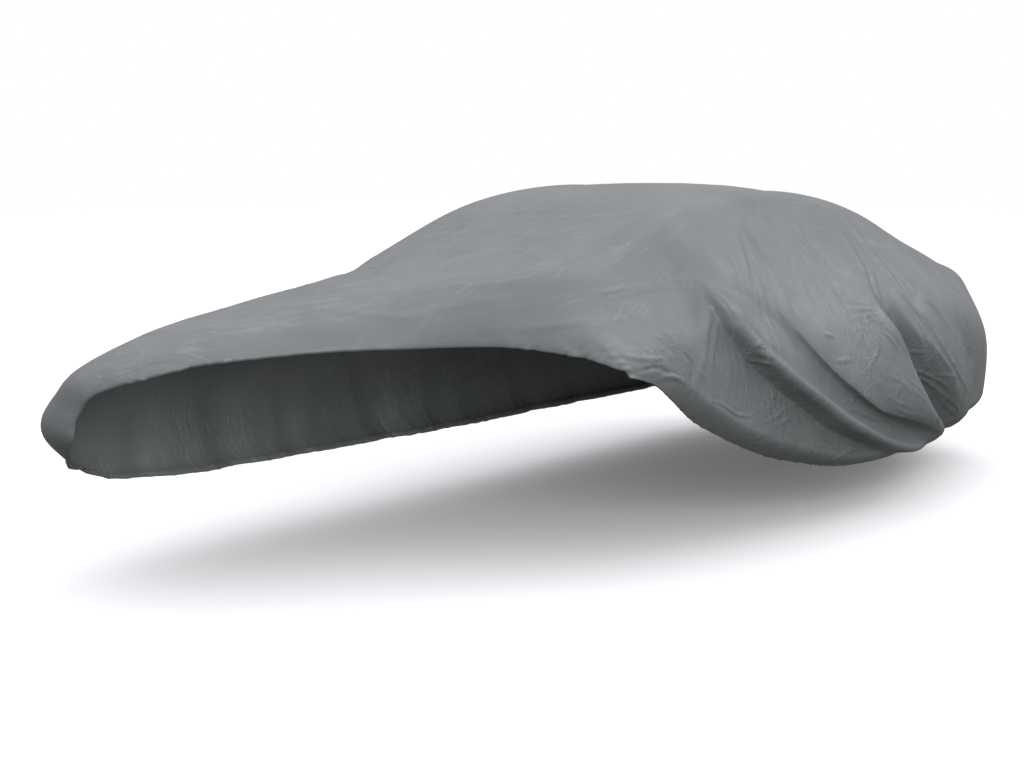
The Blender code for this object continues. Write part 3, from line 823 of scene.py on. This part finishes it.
def store_map(name, pairs):
    corner = np.empty(len(cover_mesh.loops), dtype=np.int32)
    cover_mesh.loops.foreach_get("vertex_index", corner)
    cover_mesh.uv_layers.new(name=name).data.foreach_set("uv", with_hem(pairs)[corner].ravel())


flat_normal = outward(surface)
store_map("hang", np.stack([surface[..., 0] + surface[..., 1], surface[..., 2]], axis=-1))
away = surface[..., :2] - PULL
from_pull = np.linalg.norm(away, axis=-1)
store_map("fan", np.stack([np.arctan2(away[..., 0], away[..., 1]), from_pull], axis=-1))
# How far the film faces a way, from 0 to 1, and the distance from the pull in metres, each
# become a mask between the two numbers given.
faces_up, faces_aside = flat_normal[..., 2], np.abs(flat_normal[..., 1])
store_mask("on top", ease(faces_up, .55, .75) * ease(from_pull, .15, .45))
store_mask("on a side", (1 - ease(faces_up, .30, .50)) * ease(faces_aside, .35, .75))
store_mask("crinkled", crinkled_share(surface, flat_normal))
print("maps:", [layer.name for layer in cover_mesh.uv_layers])

# %% [markdown]
# ## PEVA film
# The real film is a soft polyethylene blend, blown thin and lightly calendered. It has a dull
# satin gloss, takes creases that never quite come out, and is dyed right through. The long streaks
# of the pulled film are drawn where a stretched noise passes through its middle value. Crinkles
# are strokes, one in each cell of a Voronoi pattern, because a crinkle starts and stops.

# %% Film finish
DYE = "737778"                   # the film's grey, and its two ends of variation
DYE_PALE = "7A7E7F"
DYE_DEEP = "6D7272"
PAINTED_GLINT_PALE = "A0A4A3"           # painted highlight: the paler grey that creases and crinkles are mixed towards, as light glints on them
# All sizes and heights from here on are in metres.
PATCH = .22                      # size of the patches with more and with fewer streaks
STREAK_HEIGHT = .0008
SWAY, SWAY_SIZE = .018, .06      # how far a crinkle bends aside, and within what length
# Crinkles by length: the cell that holds one at most, half a crinkle's width, how far its
# direction strays from upright in radians, and the share of the cells that hold one. A real
# crinkle is 1 to 2 mm wide. That is too fine to show from here, so they are drawn 7 to 9 mm wide.
LONG_CRINKLES = (.17, .0045, .35, .45)
SHORT_CRINKLES = (.07, .0042, .8, .5)
BITS = (.036, .0036, 3.0, .6)
BITS_FROM = (.55, .85)           # bits come only where the film is this crinkled
CRINKLE_HEIGHT = .0034
FACETS, FACET_HEIGHT = .075, .004            # the flat planes into which a crumpled film breaks
DENTS, DENT_HEIGHT = .06, .002               # shallow dents between them
PUCKERS, PUCKER_HEIGHT = (.022, .055), .005  # puckers, across and along, that catch the light
GRAIN, GRAIN_HEIGHT = .0015, .00003          # the real 0.4 mm grain, drawn coarser to show


def calculate(tree, operation, *values):
    """The result of one sum on values or sockets."""
    inputs = {f"i{k}": value for k, value in enumerate(values)}
    return add(tree, "ShaderNodeMath", {"operation": operation}, **inputs).outputs[0]


def mask(tree, name):
    return add(tree, "ShaderNodeAttribute", {"attribute_name": name}).outputs["Fac"]


def crease_lines(tree, place, across, along, thin):
    """Thin lines, 1 on their crest and 0 between them; across and along are their size."""
    sized = add(tree, "ShaderNodeMapping", Vector=place, Scale=(1 / across, 1 / along, 1 / across))
    noise = add(tree, "ShaderNodeTexNoise", Vector=sized.outputs[0], Scale=1.0, Detail=3.0)
    off = calculate(tree, "ABSOLUTE", calculate(tree, "SUBTRACT", noise.outputs["Fac"], 0.5))
    crest = add(tree, "ShaderNodeMapRange", {"interpolation_type": "SMOOTHSTEP"},
                i0=off, i1=0.0, i2=thin, i3=1.0, i4=0.0)
    return crest.outputs[0]


def strokes(tree, flat, cell, half_width, stray, share):
    """Short straight crease lines, one in each cell of a Voronoi pattern, 1 on their crest. Their
    direction strays from upright at random, and only a share of the cells has one."""
    cells = add(tree, "ShaderNodeTexVoronoi", {"voronoi_dimensions": "2D"}, Vector=flat, Scale=1 / cell)
    draw = add(tree, "ShaderNodeSeparateColor", i0=cells.outputs["Color"])
    away = add(tree, "ShaderNodeVectorMath", {"operation": "SUBTRACT"},
               i0=flat, i1=cells.outputs["Position"])
    angle = calculate(tree, "MULTIPLY_ADD", draw.outputs[0], 2 * stray, -stray)
    turned = add(tree, "ShaderNodeVectorRotate", {"rotation_type": "Z_AXIS"},
                 Vector=away.outputs[0], Angle=angle)
    local = add(tree, "ShaderNodeSeparateXYZ", i0=turned.outputs[0])
    across = calculate(tree, "ABSOLUTE", local.outputs[0])
    along = calculate(tree, "ABSOLUTE", local.outputs[1])
    crest = add(tree, "ShaderNodeMapRange", {"interpolation_type": "SMOOTHSTEP"},
                i0=across, i1=0.0, i2=half_width, i3=1.0, i4=0.0).outputs[0]
    ends = add(tree, "ShaderNodeMapRange", {"interpolation_type": "SMOOTHSTEP"},
               i0=along, i1=.2 * cell, i2=.5 * cell, i3=1.0, i4=0.0).outputs[0]
    chosen = calculate(tree, "LESS_THAN", draw.outputs[1], share)
    return calculate(tree, "MULTIPLY", calculate(tree, "MULTIPLY", crest, ends), chosen)


def blown_peva_film():
    finish = bpy.data.materials.new("blown and calendered PEVA film")
    finish.use_nodes = True
    tree = finish.node_tree
    shader = tree.nodes["Principled BSDF"]
    place = add(tree, "ShaderNodeTexCoord").outputs["Object"]
    fan = add(tree, "ShaderNodeUVMap", {"uv_map": "fan"}).outputs[0]
    crinkled = mask(tree, "crinkled")

    patches = add(tree, "ShaderNodeTexNoise", Vector=place, Scale=1 / PATCH, Detail=2.0).outputs["Fac"]
    patchy = add(tree, "ShaderNodeMapRange", i0=patches, i1=.42, i2=.62, i3=.15, i4=1.0).outputs[0]
    pulled = calculate(tree, "MULTIPLY", mask(tree, "on top"), crease_lines(tree, fan, .040, .50, .045))
    hang = add(tree, "ShaderNodeUVMap", {"uv_map": "hang"}).outputs[0]
    sway = add(tree, "ShaderNodeTexNoise", Vector=place, Scale=1 / SWAY_SIZE, Detail=2.0)
    swayed = add(tree, "ShaderNodeVectorMath", {"operation": "MULTIPLY_ADD"},
                 i0=sway.outputs["Color"], i1=(SWAY, SWAY, 0), i2=hang).outputs[0]
    hanging = crease_lines(tree, hang, .030, .40, .03)
    hanging = calculate(tree, "MULTIPLY", mask(tree, "on a side"), hanging)
    streaks = calculate(tree, "MULTIPLY", patchy, calculate(tree, "ADD", pulled, hanging))
    bits = strokes(tree, swayed, *BITS)
    crumpled = add(tree, "ShaderNodeMapRange", i0=crinkled, i1=BITS_FROM[0], i2=BITS_FROM[1])
    bits = calculate(tree, "MULTIPLY", crumpled.outputs[0], bits)
    marks = calculate(tree, "MAXIMUM", strokes(tree, swayed, *SHORT_CRINKLES), bits)
    marks = calculate(tree, "MAXIMUM", strokes(tree, swayed, *LONG_CRINKLES), marks)
    crinkles = calculate(tree, "MULTIPLY", crinkled, marks)
    bent = add(tree, "ShaderNodeTexNoise", Vector=place, Scale=1 / .08, Detail=2.0)
    bent = add(tree, "ShaderNodeMix", {"data_type": "RGBA"}, Factor=.04, i6=place,
               i7=bent.outputs["Color"]).outputs[2]
    facets = add(tree, "ShaderNodeTexVoronoi", Vector=bent, Scale=1 / FACETS).outputs["Distance"]
    dents = add(tree, "ShaderNodeTexNoise", Vector=place, Scale=1 / DENTS, Detail=2.0).outputs["Fac"]
    pucker = add(tree, "ShaderNodeMapping", Vector=hang, Scale=(1 / PUCKERS[0], 1 / PUCKERS[1], 1))
    pucker = add(tree, "ShaderNodeTexNoise", Vector=pucker.outputs[0], Scale=1.0, Detail=3.0,
                 Distortion=1.0).outputs["Fac"]
    grain = add(tree, "ShaderNodeTexNoise", Vector=place, Scale=1 / GRAIN, Detail=1.0).outputs["Fac"]

    height = calculate(tree, "MULTIPLY", streaks, STREAK_HEIGHT)
    height = calculate(tree, "MULTIPLY_ADD", crinkles, CRINKLE_HEIGHT, height)
    for form, proud in ((facets, FACET_HEIGHT), (dents, DENT_HEIGHT), (pucker, PUCKER_HEIGHT)):
        here = calculate(tree, "MULTIPLY", form, crinkled)
        height = calculate(tree, "MULTIPLY_ADD", here, proud, height)
    height = calculate(tree, "MULTIPLY_ADD", grain, GRAIN_HEIGHT, height)
    relief = add(tree, "ShaderNodeBump", Height=height, Distance=1.0, Strength=1.0)
    tree.links.new(relief.outputs[0], shader.inputs["Normal"])

    broad = add(tree, "ShaderNodeTexNoise", Vector=place, Scale=1 / .5, Detail=4.0).outputs["Fac"]
    dye = add(tree, "ShaderNodeValToRGB", i0=broad)
    set_stops(dye, [(.3, linear(DYE_DEEP)), (.5, linear(DYE)), (.7, linear(DYE_PALE))])
    # Painted highlight: the streaks and crinkles are mixed towards a paler grey, as the glint of light
    # on them.
    painted_glint = calculate(tree, "MAXIMUM", calculate(tree, "MULTIPLY", streaks, .22),
                       calculate(tree, "MULTIPLY", crinkles, .5))
    colour = add(tree, "ShaderNodeMix", {"data_type": "RGBA"}, Factor=painted_glint,
                 i6=dye.outputs[0], i7=linear(PAINTED_GLINT_PALE))
    tree.links.new(colour.outputs[2], shader.inputs["Base Color"])
    gloss = add(tree, "ShaderNodeMapRange", i0=dents, i1=.3, i2=.7, i3=.40, i4=.50)
    tree.links.new(gloss.outputs[0], shader.inputs["Roughness"])
    shader.inputs["IOR"].default_value = 1.5
    return finish


cover.data.materials.append(blown_peva_film())
print("finish:", cover.data.materials[0].name)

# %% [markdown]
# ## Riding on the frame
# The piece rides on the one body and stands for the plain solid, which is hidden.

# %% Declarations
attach(cover, "root")
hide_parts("cover")
